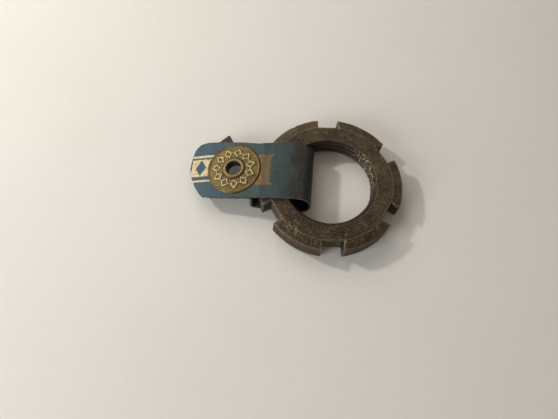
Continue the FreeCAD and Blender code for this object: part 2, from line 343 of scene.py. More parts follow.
def nut_distance(x, y, z):
    """Distance from the nut's surface, below zero inside the metal."""
    radius, angle = np.hypot(x, y), np.arctan2(y, x)
    fall = math.atan2(CROWN_DROP, NUT_RADIUS - CROWN_RADIUS)
    crown = (z - NUT_HEIGHT) * math.cos(fall) + (radius - CROWN_RADIUS) * math.sin(fall)
    metal = soft_max(radius - NUT_RADIUS, crown, EDGE_ROUND)
    metal = soft_max(metal, z - NUT_HEIGHT, TOP_ROUND)
    metal = soft_max(metal, -z, EDGE_ROUND)

    sixth = math.pi / 3
    turn = (angle + sixth) % sixth - sixth / 2
    out, side = radius * np.cos(turn), radius * np.sin(turn)
    notch = soft_max(np.abs(side) - NOTCH_WIDTH / 2, NOTCH_FLOOR - out, NOTCH_ROUND)
    metal = soft_max(metal, -notch, EDGE_ROUND)

    phase = (z / THREAD_PITCH - angle / (2 * math.pi)) % 1
    flank = np.clip(np.abs(phase - 0.5) * THREAD_FLANK - THREAD_FLAT, 0, 1)
    thread = THREAD_ROOT + (THREAD_CREST - THREAD_ROOT) * flank
    metal = soft_max(metal, (thread - radius) / 2, THREAD_ROUND)
    depth = np.minimum(z, NUT_HEIGHT - z)
    mouth = (MOUTH_RADIUS - depth - radius) / math.sqrt(2)
    return soft_max(metal, mouth, GOUGE_ROUND)


def nut_gouges(random):
    """Round dents as (x, y, z, radius): hammered tooth, thread, nicked tooth, rim and notches."""
    gouges = []

    def gouge(degrees, radius, height, size):
        angle = math.radians(degrees)
        gouges.append((radius * math.cos(angle), radius * math.sin(angle), height, size))

    for _ in range(26):
        size = random.uniform(0.25, 0.6)
        degrees, radius = random.normal(HAMMERED[0], 3.3), random.normal(HAMMERED[1], 0.55)
        gouge(degrees, radius, NUT_HEIGHT - 0.2 + 0.75 * size, size)
    for _ in range(170):
        size = random.uniform(0.18, 0.45)
        degrees, height = random.normal(THREAD_WEAR, 19), random.uniform(1.0, 5.6)
        gouge(degrees, THREAD_CREST - 0.3 * size, height, size)
    for _ in range(10):
        degrees, radius = NICKED[0] + random.normal(0, 1.2), NICKED[1] + random.normal(0, 0.5)
        gouge(degrees, radius, NUT_HEIGHT + 0.05, 0.42)
    for _ in range(50):
        size = random.uniform(0.15, 0.35)
        height = random.choice([0.0, NUT_HEIGHT - CROWN_DROP])
        gouge(random.uniform(0, 360), NUT_RADIUS + 0.5 * size, height + random.normal(0, 0.3), size)
    for _ in range(60):
        side = random.choice([-1, 1]) * NOTCH_WIDTH / 2
        size = random.uniform(0.18, 0.4)
        reach = random.uniform(NOTCH_FLOOR, NUT_RADIUS)
        degrees = 30 + 60 * random.integers(6) + math.degrees(math.asin(side / reach))
        gouge(degrees, reach, NUT_HEIGHT - 0.2 + 0.5 * size, size)
    return np.array(gouges)


def carve(field, axes, gouge):
    """Cuts one round gouge out of a sampled solid."""
    *centre, size = gouge
    spans = [
        slice(*np.searchsorted(axis, (middle - 1.6 * size, middle + 1.6 * size)))
        for axis, middle in zip(axes, centre)
    ]
    x, y, z = np.meshgrid(*(axis[span] for axis, span in zip(axes, spans)), indexing="ij")
    across = np.hypot(x - centre[0], y - centre[1])
    away = np.hypot(across, (z - centre[2]) / GOUGE_DEPTH)
    part = field[tuple(spans)]
    field[tuple(spans)] = soft_max(part, size - away, GOUGE_ROUND)


def surface_of(field, axes):
    """Quads round the part of a sampled field that is below zero, one point per crossed cell."""
    inside = field < 0
    cells = tuple(n - 1 for n in field.shape)
    total = np.zeros(cells + (3,))
    count = np.zeros(cells)
    crossings = []
    for axis in range(3):
        low = [slice(None)] * 3
        high = [slice(None)] * 3
        low[axis], high[axis] = slice(0, -1), slice(1, None)
        a, b = field[tuple(low)], field[tuple(high)]
        i, j, k = np.nonzero((a < 0) != (b < 0))
        share = a[i, j, k] / (a[i, j, k] - b[i, j, k])
        place = np.stack([i, j, k], axis=1).astype(float)
        place[:, axis] += share
        crossings.append((i, j, k))
        others = [n for n in range(3) if n != axis]
        for back in ((0, 0), (0, 1), (1, 0), (1, 1)):
            cell = np.stack([i, j, k], axis=1)
            cell[:, others[0]] -= back[0]
            cell[:, others[1]] -= back[1]
            at = tuple(cell.T)
            np.add.at(total, at, place)
            np.add.at(count, at, 1)
    used = np.nonzero(count)
    index = np.full(cells, -1)
    index[used] = np.arange(len(used[0]))
    spots = total[used] / count[used][:, None]
    step = axes[0][1] - axes[0][0]
    points = spots * step + np.array([axis[0] for axis in axes])
    faces = []
    for axis, (i, j, k) in enumerate(crossings):
        others = [n for n in range(3) if n != axis]
        corners = []
        for back in ((0, 0), (0, 1), (1, 1), (1, 0)):
            cell = np.stack([i, j, k], axis=1)
            cell[:, others[0]] -= back[0]
            cell[:, others[1]] -= back[1]
            corners.append(index[tuple(cell.T)])
        quads = np.stack(corners, axis=1)
        flip = inside[i, j, k] != (axis == 1)
        quads[flip] = quads[flip][:, ::-1]
        faces.append(quads)
    return points, np.concatenate(faces)


def build_nut():
    """Worn, oxidised nut with rounded edges, a real thread, dents and pits."""
    pad = 3 * VOXEL
    axes = [
        np.arange(-NUT_RADIUS - pad, NUT_RADIUS + pad, VOXEL),
        np.arange(-NUT_RADIUS - pad, NUT_RADIUS + pad, VOXEL),
        np.arange(-pad, NUT_HEIGHT + pad, VOXEL),
    ]
    field = nut_distance(*np.meshgrid(*axes, indexing="ij"))
    gouges = nut_gouges(np.random.default_rng(7))
    for gouge in gouges:
        carve(field, axes, gouge)
    points, faces = surface_of(field, axes)
    faces = outward(points, faces)
    normals = point_normals(points, faces)

    swell = SWELL * lumps(points, 4.0, 1) + FINE_SWELL * lumps(points, 1.3, 2)
    pits = smooth_step(lumps(points, 0.75, 3), 0.28, 0.6)
    threaded = np.hypot(points[:, 0], points[:, 1]) < THREAD_ROOT + 0.3
    swell -= PIT_DEPTH * pits * ~threaded
    points = points + normals * (swell - WEAR)[:, None]

    convex = np.einsum("ij,ij->i", points - smoothed(points, faces, 12), normals)
    chips = np.zeros(len(points))
    for *centre, size in gouges:
        away = np.linalg.norm(points - centre, axis=1)
        chips = np.maximum(chips, 1 - smooth_step(away, size * 0.9, size * 1.5))
    radius = np.hypot(points[:, 0], points[:, 1])
    angle = np.degrees(np.arctan2(points[:, 1], points[:, 0]))
    # where pale specks are painted on the thread as glints
    glint = np.exp(-(((angle - PAINTED_GLINT[0]) / PAINTED_GLINT[1]) ** 2)) * smooth_step(radius, 12.4, 12.1)
    patch = np.linalg.norm(points - RUSTY_SPOT, axis=1)
    # darker and browner towards the camera's side of the nut
    rust = 0.85 * smooth_step(-points[:, 1] - 0.1 * points[:, 0], -2, 14)
    rust = np.maximum(rust, 0.9 * smooth_step(patch, 2.4, 0.6))
    return make_object(
        "worn_ring_nut",
        points,
        faces,
        convex=convex,
        chips=smoothed(chips, faces, 1),
        crown=radius - CROWN_RADIUS,
        glint=glint,
        rust=rust,
    )


def steel_look():
    """Dark brown oxide with rust and soot, rubbed back to grey metal on edges and in chips, with
    painted highlights on the edges, the crown's ridge and the thread, and painted shade in hollows.
    """
    look = Look("oxidised_steel", IOR=1.45)
    broad = look.grain(5.0, 4.0, 0.6, seed=1.0)
    mid = look.grain(1.2, 5.0, 0.7, seed=6.0)
    fine = look.grain(0.4, 4.0, 0.7, seed=2.0)
    crown = look.number("crown")

    # oxide, a little lighter on the teeth, with rust, soot and rubbed places
    colour = look.mix(look.step(broad, 0.35, 0.68), srgb(59, 47, 31), srgb(90, 78, 56))
    teeth = look.step(crown, -0.1, 0.1)
    teeth = look.math("MULTIPLY", teeth, look.step(broad, 0.35, 0.65, 0.15, 0.5))
    colour = look.mix(teeth, colour, srgb(92, 80, 62))
    rust = look.step(look.grain(2.6, 5.0, 0.7, seed=3.0), 0.52, 0.72)
    colour = look.mix(look.math("MULTIPLY", rust, 0.55), colour, srgb(90, 56, 32))
    # darker and browner towards the camera's side of the nut, with one rusty spot
    colour = look.mix(look.math("MULTIPLY", look.number("rust"), 0.8), colour, srgb(48, 30, 17))
    soot = look.step(mid, 0.48, 0.68)
    colour = look.mix(look.math("MULTIPLY", soot, 0.8), colour, srgb(34, 25, 18))
    bright = look.step(mid, 0.47, 0.34, 0.0, 0.55)
    colour = look.mix(bright, colour, srgb(112, 99, 78))
    colour = look.mix(look.step(fine, 0.5, 0.68, 0.0, 0.7), colour, srgb(132, 117, 92))

    # a painted highlight along the crown's ridge, rubbed bare metal with a painted highlight on the
    # edges, and bare metal in the chips
    line = look.step(look.math("ABSOLUTE", crown), 0.22, 0.06)
    line = look.math("MULTIPLY", line, look.step(mid, 0.4, 0.6, 0.1, 0.6))
    colour = look.mix(line, colour, srgb(134, 120, 96))
    convex = look.number("convex")
    # edges: rubbed bare metal, lightened further as a painted highlight
    edge = look.step(look.math("ADD", convex, look.math("MULTIPLY", fine, 0.03)), 0.03, 0.085)
    edge = look.math("MULTIPLY", edge, look.step(mid, 0.35, 0.62, 0.05, 0.75))
    from_mouth = look.math("ABSOLUTE", look.math("ADD", crown, CROWN_RADIUS - MOUTH_RADIUS))
    edge = look.math("MULTIPLY", edge, look.step(from_mouth, 0.25, 0.5, 0.1, 1.0))
    colour = look.mix(edge, colour, srgb(126, 112, 90))
    chips = look.math("MULTIPLY", look.number("chips"), look.step(fine, 0.4, 0.6))
    colour = look.mix(look.math("MULTIPLY", chips, 0.5), colour, srgb(150, 136, 108))

    # reddish thread with dark roots, painted glints on its worn stretch, and dirt and painted shade in
    # every hollow
    from_root = look.math("ADD", crown, CROWN_RADIUS - THREAD_ROOT)
    glint = look.number("glint")
    threads = look.step(from_root, 0.15, -0.1)
    red = look.math("SUBTRACT", threads, look.math("MULTIPLY", glint, 0.4), clamp=True)
    colour = look.mix(look.math("MULTIPLY", red, 0.75), colour, srgb(58, 33, 23))
    root = look.step(from_root, -0.6, -0.25)
    root = look.math("MULTIPLY", root, look.step(from_root, 0.25, 0.05))
    colour = look.mix(look.math("MULTIPLY", root, 0.75), colour, srgb(32, 17, 12))
    # painted highlight: pale specks standing in for glints on the worn stretch
    painted_glint_specks = look.step(look.grain(0.42, 5.0, 0.8, seed=7.0), 0.55, 0.6, 0.0, 0.9)
    glint = look.math("MULTIPLY", glint, painted_glint_specks)
    colour = look.mix(glint, colour, srgb(218, 207, 184))
    # painted shade, with dirt, darkens every hollow
    hollow_shade_and_dirt = look.step(convex, -0.03, -0.1)
    colour = look.mix(look.math("MULTIPLY", hollow_shade_and_dirt, 0.8), colour, srgb(26, 17, 13))

    bare = look.math("MAXIMUM", look.math("MULTIPLY", edge, 0.5), chips)
    roughness = look.step(fine, 0.3, 0.7, 0.5, 0.72)
    roughness = look.math("SUBTRACT", roughness, look.math("MULTIPLY", bare, 0.16))
    pits = look.bump(look.grain(0.35, 5.0, 0.7, seed=5.0), 0.14)
    scale = look.bump(look.step(look.cells(0.55), 0.05, 0.4), 0.04, pits)
    return look.finish(
        Base_Color=colour,
        Metallic=look.step(bare, 0.0, 1.0, 0.4, 0.9),
        Roughness=roughness,
        Normal=scale,
    )


# ---------------------------------------------------------------- strip

FOLD_DROP = NUT_HEIGHT + 2 * NUT_GAP + STRIP_THICK - 2 * FOLD_CORNER
TOP_Z = NUT_HEIGHT + NUT_GAP + STRIP_THICK / 2
LOW_Z = -NUT_GAP - STRIP_THICK / 2
FOLD_X = -FOLD_REACH - FOLD_CORNER
SLOPE_X = FLEX[0] - SLOPE_START
BULGE_CENTRE_X = BULGE_X + BULGE_RADIUS
HALF_WIDTH = STRIP_WIDTH / 2
CREASE_X = BULGE_X - CREASE_RADIUS
CREASE_Z = (
    TOP_Z
    + (CREASE_X - SLOPE_X) * math.tan(SLOPE)
    - (LAYER_STEP + CREASE_RADIUS) / math.cos(SLOPE)
)

# length in millimetres and turn in degrees of each stretch, from the free end of the printed face
STRETCHES = (
    (DROOP_LENGTH, 0),
    (0, -DROOP),
    (FACE_LENGTH - DROOP_LENGTH, 0),
    (0, -math.degrees(SLOPE)),
    (FOLD_X - SLOPE_X, 0),
    (math.pi / 2 * FOLD_CORNER, -90),
    (FOLD_DROP, 0),
    (math.pi / 2 * FOLD_CORNER, -90),
    (FOLD_X - BULGE_CENTRE_X, 0),
    (math.pi / 2 * BULGE_RADIUS, -90),
    (CREASE_Z - BULGE_RADIUS - LOW_Z, 0),
    (math.radians(90 + math.degrees(SLOPE)) * CREASE_RADIUS, 90 + math.degrees(SLOPE)),
    (BACK_LENGTH, 0),
)
FOLD_START = FACE_LENGTH + FOLD_X - SLOPE_X
FINE = 0.02

# (place along the strip, lower edge, upper edge): its outline seen from above, in the tag's frame
EDGES = (
    (0.0, -7.1, 8.95),
    (8.5, -6.85, 9.15),
    (14.0, -6.6, 9.0),
    (18.5, -6.8, 8.65),
    (22.0, -6.6, 9.15),
    (25.5, -6.3, 9.95),
    (28.6, -6.2, 9.4),
    (33.0, -6.4, 8.5),
    (37.0, -6.7, 8.5),
    (43.0, -6.9, 9.0),
    (70.0, -6.8, 9.0),
)

# (place across the strip, how far its printed end is cut back there)
END_CUT = (
    (-7.95, 4.6),
    (-7.2, 3.7),
    (-5.4, 2.4),
    (-3.6, 1.28),
    (-1.8, 0.5),
    (0.0, 0.0),
    (1.8, 0.0),
    (3.6, 0.2),
    (5.7, 0.75),
    (6.9, 1.6),
    (7.5, 2.4),
    (7.95, 4.2),
)
EDGE_BLUR = 3.0
HEADING_BLUR = 1.2
SIDE_SWELL = 0.02

# prints on the strip as (start, end, lower, upper), in places along and across it: gold bars, the
# gold block that is left bare inside a lozenge, and a bronze block between two bars
GOLD_BARS = ((0.4, 9.0, 3.4, 4.05), (0.4, 9.0, -3.7, -3.15))
GOLD_BLOCK = (0.35, 5.8, -2.1, 2.9)
BRONZE_BLOCK = (17.0, 21.9, -4.5, 4.4)
BRONZE_BARS = ((17.0, 22.4, -4.5, -4.05), (17.0, 22.4, 3.95, 4.4))
PRINT_BLUR = 0.08

# middle and half size of the lozenge, along and across
LOZENGE_MIDDLE = (3.0, 0.4)
LOZENGE_HALF = (1.5, 2.3)

# how far from each end of the strip its cut shape reaches, and how rough the two cuts are
START_REACH = 9.0
END_REACH = 3.0
START_ROUGH = 0.12
END_ROUGH = 0.25

# how far the free part ruffles and the four places along the strip where that starts, is whole,
# begins to fade and ends
RUFFLE = 0.14
FREE_PART = (20.5, 23.0, 29.0, 33.0)

# how far the printed end's corners lift, and the edges fray, with more at the lower edge beside
# the disc
CORNER_LIFT = 0.3
FRAY = 0.09
LOWER_FRAY = 0.2

# the corner of the back layer that shows past the printed face: how far it spreads, and where
# along the layer, counted from its end, it is widest, and how long it takes to spread
EAR = 2.5
EAR_TIP = 2.8
EAR_START = 4.7
EAR_RISE = 1.5


def blurred(values, width):
    """Values sampled every FINE millimetres, averaged over a width."""
    reach = max(int(width / FINE / 2), 1)
    padded = np.pad(values, reach, mode="edge")
    kernel = np.hanning(2 * reach + 3)[1:-1]
    return np.convolve(padded, kernel / kernel.sum(), mode="valid")


def side_view():
    """The strip's middle line seen from the side: places along it, x, z and heading."""
    ends = np.cumsum([length for length, turn in STRETCHES])
    along = np.arange(0, ends[-1], FINE)
    heading = np.full(len(along), SLOPE + math.radians(DROOP))
    start = 0.0
    for length, turn in STRETCHES:
        share = np.clip((along - start) / max(length, FINE), 0, 1)
        heading += math.radians(turn) * share
        start += length
    heading = blurred(heading, HEADING_BLUR)
    x, z = np.cumsum(np.cos(heading)) * FINE, np.cumsum(np.sin(heading)) * FINE
    fold = np.searchsorted(along, FOLD_START)
    return along, x - x[fold] + FOLD_X, z - z[fold] + TOP_Z, heading


def free_end(across):
    """How far the printed end is cut back: one corner rounded, the other cut off."""
    return np.interp(across, *zip(*END_CUT))


def build_strip():
    """One continuous strip: printed face, fold through the nut, and back layer under the face."""
    rows, columns, side_points = 300, 60, 4
    line, line_x, line_z, line_heading = side_view()
    length = line[-1]
    places, lows, highs = zip(*EDGES)
    low, high = (blurred(np.interp(line, places, side), EDGE_BLUR) for side in (lows, highs))

    step = np.linspace(0, length, rows)[:, None]
    lift = np.linspace(-1, 1, columns)
    # one loop of points round the strip's section: (across, through), each from -1 to 1
    bend = np.linspace(0, math.pi, side_points + 2)[1:-1]
    loop = np.concatenate(
        [
            np.stack([lift, np.ones(columns)], axis=1),
            np.stack([1 + SIDE_SWELL * np.sin(bend), np.cos(bend)], axis=1),
            np.stack([lift[::-1], -np.ones(columns)], axis=1),
            np.stack([-1 - SIDE_SWELL * np.sin(bend), -np.cos(bend)], axis=1),
        ]
    )
    across, through = loop[None, :, 0] * HALF_WIDTH, loop[None, :, 1]

    cut = free_end(across)
    nowhere = np.zeros(len(loop))
    rough = lumps(np.stack([across[0] * 3, nowhere, nowhere], axis=1), 1.0, 11)
    cut = cut + START_ROUGH * rough[None, :]
    near_start = np.clip(1 - step / START_REACH, 0, 1) ** 2
    near_end = np.clip(1 - (length - step) / END_REACH, 0, 1) ** 2
    along = step + cut * near_start - END_ROUGH * (1 + rough[None, :]) * near_end

    x, z, heading = (np.interp(along, line, v) for v in (line_x, line_z, line_heading))
    low_edge, high_edge = np.interp(along, line, low), np.interp(along, line, high)
    share = (across / HALF_WIDTH + 1) / 2
    y = low_edge + (high_edge - low_edge) * share

    # the back layer's corner spreads out past the printed face
    from_end = length - along
    spread = np.minimum(from_end / EAR_TIP, (EAR_START - from_end) / EAR_RISE)
    y = y + EAR * np.clip(spread, 0, 1) * smooth_step(across, 4.0, HALF_WIDTH)

    flat = np.stack([along, np.broadcast_to(across, along.shape), np.zeros_like(along)], axis=2)
    ruffle = lumps(flat.reshape(-1, 3), 5.0, 12).reshape(along.shape)
    free_from, free_whole, fade_from, fade_to = FREE_PART
    free = smooth_step(along, free_from, free_whole) * smooth_step(along, fade_to, fade_from)
    offset = RUFFLE * (1 + ruffle) * free
    corners = smooth_step(along, 5.0, 0.0) * smooth_step(np.abs(across), 3.0, 8.0)
    offset = offset + CORNER_LIFT * corners + through * STRIP_THICK / 2
    edge = smooth_step(np.abs(across), HALF_WIDTH - 0.5, HALF_WIDTH + 0.2)
    fray = lumps(flat.reshape(-1, 3) * (2.2, 0.2, 1), 1.0, 13).reshape(along.shape)
    beside_disc = smooth_step(along, 2.0, 5.0) * smooth_step(along, 14.0, 10.0)
    ragged = FRAY + LOWER_FRAY * beside_disc * (across < 0)
    y = y + np.sign(across) * edge * ragged * fray

    tag = np.stack([x - np.sin(heading) * offset, y, z + np.cos(heading) * offset], axis=2)
    points = tag.reshape(-1, 3)
    size = len(loop)
    top = np.arange(rows)[:, None] * size + np.arange(columns)
    under = top + size - side_points - 1 - 2 * np.arange(columns)
    faces = [grid_faces(rows, size, close_columns=True)]
    for row, way in ((0, 1), (rows - 1, -1)):
        quads = np.stack([top[row, :-1], top[row, 1:], under[row, 1:], under[row, :-1]], axis=1)
        faces.append(quads[:, ::way])
        # two quads close the six points of each rounded corner
        for corner in (columns - 1, 2 * columns + side_points - 1):
            ring = row * size + (corner + np.arange(side_points + 2)) % size
            faces.append(ring[[[0, 1, 4, 5], [1, 2, 3, 4]]][:, ::way])
    flat = np.stack([along, across + 0 * along, through + 0 * along], axis=2).reshape(-1, 3)
    return points, np.concatenate(faces), top.ravel(), under.ravel(), flat


def punch(points, faces, top, under):
    """Opens the eyelet's hole in both layers and walls it. top and under pair the two sides' points."""
    relative = points - EYELET_MIDDLE
    height = relative @ EYELET_AXIS
    radial = relative - np.outer(height, EYELET_AXIS)
    distance = np.linalg.norm(radial, axis=1)
    inside = np.zeros(len(points), bool)
    inside[top] = (np.abs(height[top]) < HOLE_REACH) & (distance[top] < HOLE_RADIUS)
    inside[under] = inside[top]
    kept = faces[~inside[faces].all(axis=1)]
    rim = np.zeros(len(points), bool)
    rim[kept.ravel()] = True
    rim &= inside
    points = points.copy()
    points[rim] += radial[rim] / distance[rim, None] * (HOLE_RADIUS - distance[rim])[:, None]

    partner = np.full(len(points), -1)
    partner[top] = under
    edges = np.stack([kept, np.roll(kept, -1, axis=1)], axis=2).reshape(-1, 2)
    edges = edges[rim[edges].all(axis=1) & (partner[edges] >= 0).all(axis=1)]
    drawn = {tuple(edge) for edge in edges.tolist()}
    open_edges = np.array([edge for edge in drawn if edge[::-1] not in drawn])
    a, b = open_edges.T
    walls = np.stack([b, a, partner[a], partner[b]], axis=1)
    used, index = np.unique(np.concatenate([kept, walls]), return_inverse=True)
    return used, points, index.reshape(-1, 4)


def make_strip():
    """The strip as one closed mesh."""
    points, faces, top, under, flat = build_strip()
    used, points, faces = punch(points, faces, top, under)
    return make_object("tape_tag", to_row(points[used]), faces, flat=flat[used])


def cloth_look():
    """Blue coated cloth, dirty towards the nut and near black with dirt and painted shade from the run
    over the ring on, with worn gold bars and plain blocks.
    """
    look = Look("tag_cloth", IOR=1.48, Sheen_Weight=0.08, Sheen_Roughness=0.4)
    flat = look.node("ShaderNodeAttribute", {"attribute_name": "flat"}).outputs["Vector"]
    parts = look.node("ShaderNodeSeparateXYZ", _0=flat).outputs
    along, across, side = parts[0], parts[1], parts[2]
    broad = look.grain(4.0, 4.0, 0.6, flat, 1.0)
    patchy = look.grain(1.1, 4.0, 0.7, flat, 5.0)
    fine = look.grain(0.35, 3.0, 0.6, flat, 2.0)
    wander = look.math("MULTIPLY", look.math("SUBTRACT", broad, 0.5), 9.0)
    reach = look.math("ADD", along, wander)

    # blue at the printed end, dirtier towards the nut, near black with dirt and painted shade over the
    # ring and through the fold, brown on the back layer
    clean = look.mix(broad, srgb(32, 64, 82), srgb(50, 84, 98))
    colour = look.mix(look.step(reach, 8.5, 16.0), clean, srgb(45, 65, 67))
    # near black: dirt and painted shade of the fold
    colour = look.mix(look.step(reach, 24.0, 29.0), colour, srgb(24, 24, 20))
    colour = look.mix(look.step(reach, 54.0, 60.0), colour, srgb(40, 27, 16))
    teal = look.math("MULTIPLY", look.step(along, 49.5, 51.0), look.step(along, 57.5, 55.5))
    teal = look.math("MULTIPLY", teal, look.step(patchy, 0.35, 0.5, 0.0, 0.8))
    colour = look.mix(teal, colour, srgb(38, 72, 74))
    not_ear = look.step(reach, 57.0, 52.0)
    fleck = look.math("MULTIPLY", look.step(fine, 0.5, 0.72, 0.0, 0.35), not_ear)
    colour = look.mix(fleck, colour, srgb(96, 114, 112))
    colour = look.mix(look.step(patchy, 0.5, 0.72, 0.0, 0.6), colour, srgb(42, 38, 30))

    # the gold print runs a little askew
    askew = look.math("ADD", look.math("MULTIPLY", along, -0.025), 0.08)
    askew = look.math("ADD", across, askew)

    def band(value, low, high):
        """1 between two places and 0 outside."""
        up = look.step(value, low - PRINT_BLUR, low + PRINT_BLUR)
        down = look.step(value, high - PRINT_BLUR, high + PRINT_BLUR, 1.0, 0.0)
        return look.math("MULTIPLY", up, down)

    def block(way_along, way_across, place):
        """1 inside a printed rectangle."""
        start, end, lower, upper = place
        return look.math("MULTIPLY", band(way_along, start, end), band(way_across, lower, upper))

    wear = look.step(look.grain(0.5, 5.0, 0.75, flat, 3.0), 0.38, 0.5)
    upper_bar, lower_bar = (block(along, askew, bar) for bar in GOLD_BARS)
    gold = look.math("MAXIMUM", upper_bar, lower_bar)
    field = block(along, askew, GOLD_BLOCK)

    def from_middle(value, middle, half):
        """How far a place is from a middle, as a share of half a width."""
        return look.math("DIVIDE", look.math("ABSOLUTE", look.math("SUBTRACT", value, middle)), half)

    places = zip((along, askew), LOZENGE_MIDDLE, LOZENGE_HALF)
    lozenge = look.math("ADD", *(from_middle(*place) for place in places))
    lozenge = look.step(lozenge, 0.92, 1.08)
    gold = look.math("MAXIMUM", gold, look.math("MULTIPLY", field, lozenge))
    gold = look.math("MULTIPLY", gold, wear)
    teeth = look.math("MULTIPLY", look.math("PINGPONG", across, 0.22), 2.2)
    toothed = look.math("ADD", along, teeth)
    bronze = block(toothed, across, BRONZE_BLOCK)
    for bar in BRONZE_BARS:
        bronze = look.math("MAXIMUM", bronze, block(along, across, bar))
    rubbed = look.step(look.grain(0.4, 5.0, 0.75, flat, 4.0), 0.36, 0.54, 0.25, 1.0)
    bronze = look.math("MULTIPLY", bronze, rubbed)
    printed = look.step(side, 0.9, 0.99)
    gold = look.math("MULTIPLY", gold, printed)
    bronze = look.math("MULTIPLY", bronze, printed)
    colour = look.mix(gold, colour, look.mix(fine, srgb(172, 152, 106), srgb(238, 224, 182)))
    colour = look.mix(bronze, colour, look.mix(fine, srgb(68, 52, 32), srgb(158, 130, 90)))

    # the worn end, lint, and pale threads along the cut edges
    worn_end = look.math("MULTIPLY", look.step(along, 0.45, 0.2), look.step(patchy, 0.46, 0.52))
    colour = look.mix(worn_end, colour, srgb(40, 38, 34))
    lint = look.step(look.cells(1.3, flat), 0.09, 0.04)
    lint = look.math("MULTIPLY", lint, look.step(patchy, 0.42, 0.55, 0.0, 0.5))
    lint = look.math("MULTIPLY", lint, not_ear)
    colour = look.mix(lint, colour, srgb(150, 164, 156))
    cut_edge = look.step(look.math("ABSOLUTE", side), 0.99, 0.8)
    cut_edge = look.math("MULTIPLY", cut_edge, look.step(fine, 0.3, 0.6, 0.3, 0.8))
    pale = look.mix(look.step(patchy, 0.42, 0.55), srgb(44, 38, 30), srgb(118, 128, 110))
    colour = look.mix(cut_edge, colour, pale)
    metal = look.math("MULTIPLY", gold, 0.35)
    metal = look.math("MAXIMUM", metal, look.math("MULTIPLY", bronze, 0.45))

    threads = {"Vector": flat, "Scale": 0.55, "Distortion": 0.4}
    warp, weft = (
        look.node("ShaderNodeTexWave", {"bands_direction": way}, **threads).outputs["Fac"]
        for way in ("X", "Y")
    )
    weave = look.math("MULTIPLY", warp, weft)
    normal = look.bump(weave, 0.012)
    normal = look.bump(look.grain(0.6, 5.0, 0.7, flat, 6.0), 0.16, normal)
    return look.finish(
        Base_Color=colour,
        Roughness=look.step(broad, 0.3, 0.7, 0.5, 0.66),
        Metallic=metal,
        Normal=normal,
    )


# ---------------------------------------------------------------- eyelet

RAISED_HEIGHT = 0.23
RIM_HEIGHT = 0.08
RIM_WIDTH = 0.3
RIM_DROP = 0.4
DOME_DROP = 0.26
DENT_DEPTH = 0.03
DISC_THINNEST = 0.12


def on_eyelet(points, from_face=0.0):
    """Points from the eyelet's own frame, z along its axis from the strip's printed face."""
    x_axis = np.cross((0, 1, 0), EYELET_AXIS)
    axes = np.array([x_axis, (0, 1, 0), EYELET_AXIS])
    stack = 2 * STRIP_THICK + LAYER_GAP
    washer_side = LAYER_GAP + WASHER_THICK + LAYER_GAP + FLANGE_THICK
    disc_side = LAYER_GAP + DISC_THICK + LAYER_GAP + FLANGE_THICK
    face = (stack + washer_side - disc_side) / 2
    origin = EYELET_MIDDLE + EYELET_AXIS * (face + from_face)
    return to_row(np.asarray(points) @ axes + origin)


def spun(profile, wobble, seed):
    """Closed, slightly uneven ring: a loop of (radius, height) points turned round the axis."""
    profile, turns = np.array(profile), 160
    angles = np.linspace(0, 2 * math.pi, turns, endpoint=False)
    radius, height = profile[None, :, 0], profile[None, :, 1]
    x = radius * np.cos(angles)[:, None]
    y = radius * np.sin(angles)[:, None]
    points = np.stack([x, y, np.broadcast_to(height, x.shape)], axis=2).reshape(-1, 3)
    shove = np.stack([lumps(points, 1.6, seed + k) for k in range(3)], axis=1)
    faces = grid_faces(turns, len(profile), close_rows=True, close_columns=True)
    return points + wobble * shove, faces


def arc(centre_x, centre_y, radius_x, radius_y, start, end, count):
    """Points along part of an ellipse, angles in degrees."""
    turn = np.radians(np.linspace(start, end, count))
    return [(centre_x + radius_x * math.cos(t), centre_y + radius_y * math.sin(t)) for t in turn]


def ornament(x, y):
    """Height, 0 to 1, of a raised ring of outlined lozenges with pellets between them."""
    count, middle, half_side, half_up, steep = 11, 4.55, 0.86, 1.08, 0.67
    radius, angle = np.hypot(x, y), np.arctan2(y, x)
    pitch = 2 * math.pi / count
    turn = angle % pitch - pitch / 2
    side, up = turn * middle, radius - middle
    away = (np.abs(side) / half_side + np.abs(up) / half_up - 1) * steep
    outline = 1 - smooth_step(np.abs(away), 0.13, 0.3)
    apart = pitch * middle / 2 - np.abs(side)
    pellet = 1 - smooth_step(np.hypot(apart, up), 0.14, 0.32)
    return np.maximum(outline, pellet)


def build_disc():
    """Stamped brass disc: turned-down rim, raised ornament and a worn, slightly domed field."""
    rings, turns = 62, 460
    hole = EYELET_BORE + HOLE_PLAY
    radii = hole + (DISC_RADIUS - hole) * np.linspace(0, 1, rings)
    angles = np.linspace(0, 2 * math.pi, turns, endpoint=False)
    radius, angle = np.meshgrid(radii, angles, indexing="ij")
    x, y = radius * np.cos(angle), radius * np.sin(angle)
    flat = np.stack([x, y, 0 * x], axis=2).reshape(-1, 3)
    raised = ornament(x, y) * (0.8 + 0.35 * lumps(flat, 1.4, 23).reshape(x.shape))
    dents = lumps(flat, 1.7, 21).reshape(x.shape) + 0.5 * lumps(flat, 0.6, 22).reshape(x.shape)
    rim = smooth_step(radius, DISC_RADIUS - 0.7, DISC_RADIUS - 0.4)
    fall = np.clip((radius - DISC_RADIUS + RIM_WIDTH) / RIM_WIDTH, 0, 1) ** 3
    dome = (radius / DISC_RADIUS) ** 2
    height = DISC_THICK + RAISED_HEIGHT * raised + RIM_HEIGHT * rim
    height = height - DOME_DROP * dome - RIM_DROP * fall + DENT_DEPTH * dents
    height = np.maximum(height, DISC_THINNEST)
    top = np.stack([x, y, height], axis=2)
    under = np.stack([x, y, np.zeros_like(x)], axis=2)[::-1]
    points = np.concatenate([top, under]).reshape(-1, 3)
    faces = grid_faces(2 * rings, turns, close_rows=True, close_columns=True)
    raised = np.concatenate([raised, 0 * raised]).ravel()
    # dirt and painted shade beside the raised marks
    grime = np.clip(1.6 * (smoothed(raised, faces, 14) - raised), 0, 1)
    return make_object("stamped_disc", on_eyelet(points, LAYER_GAP), faces, raised=raised, grime=grime)


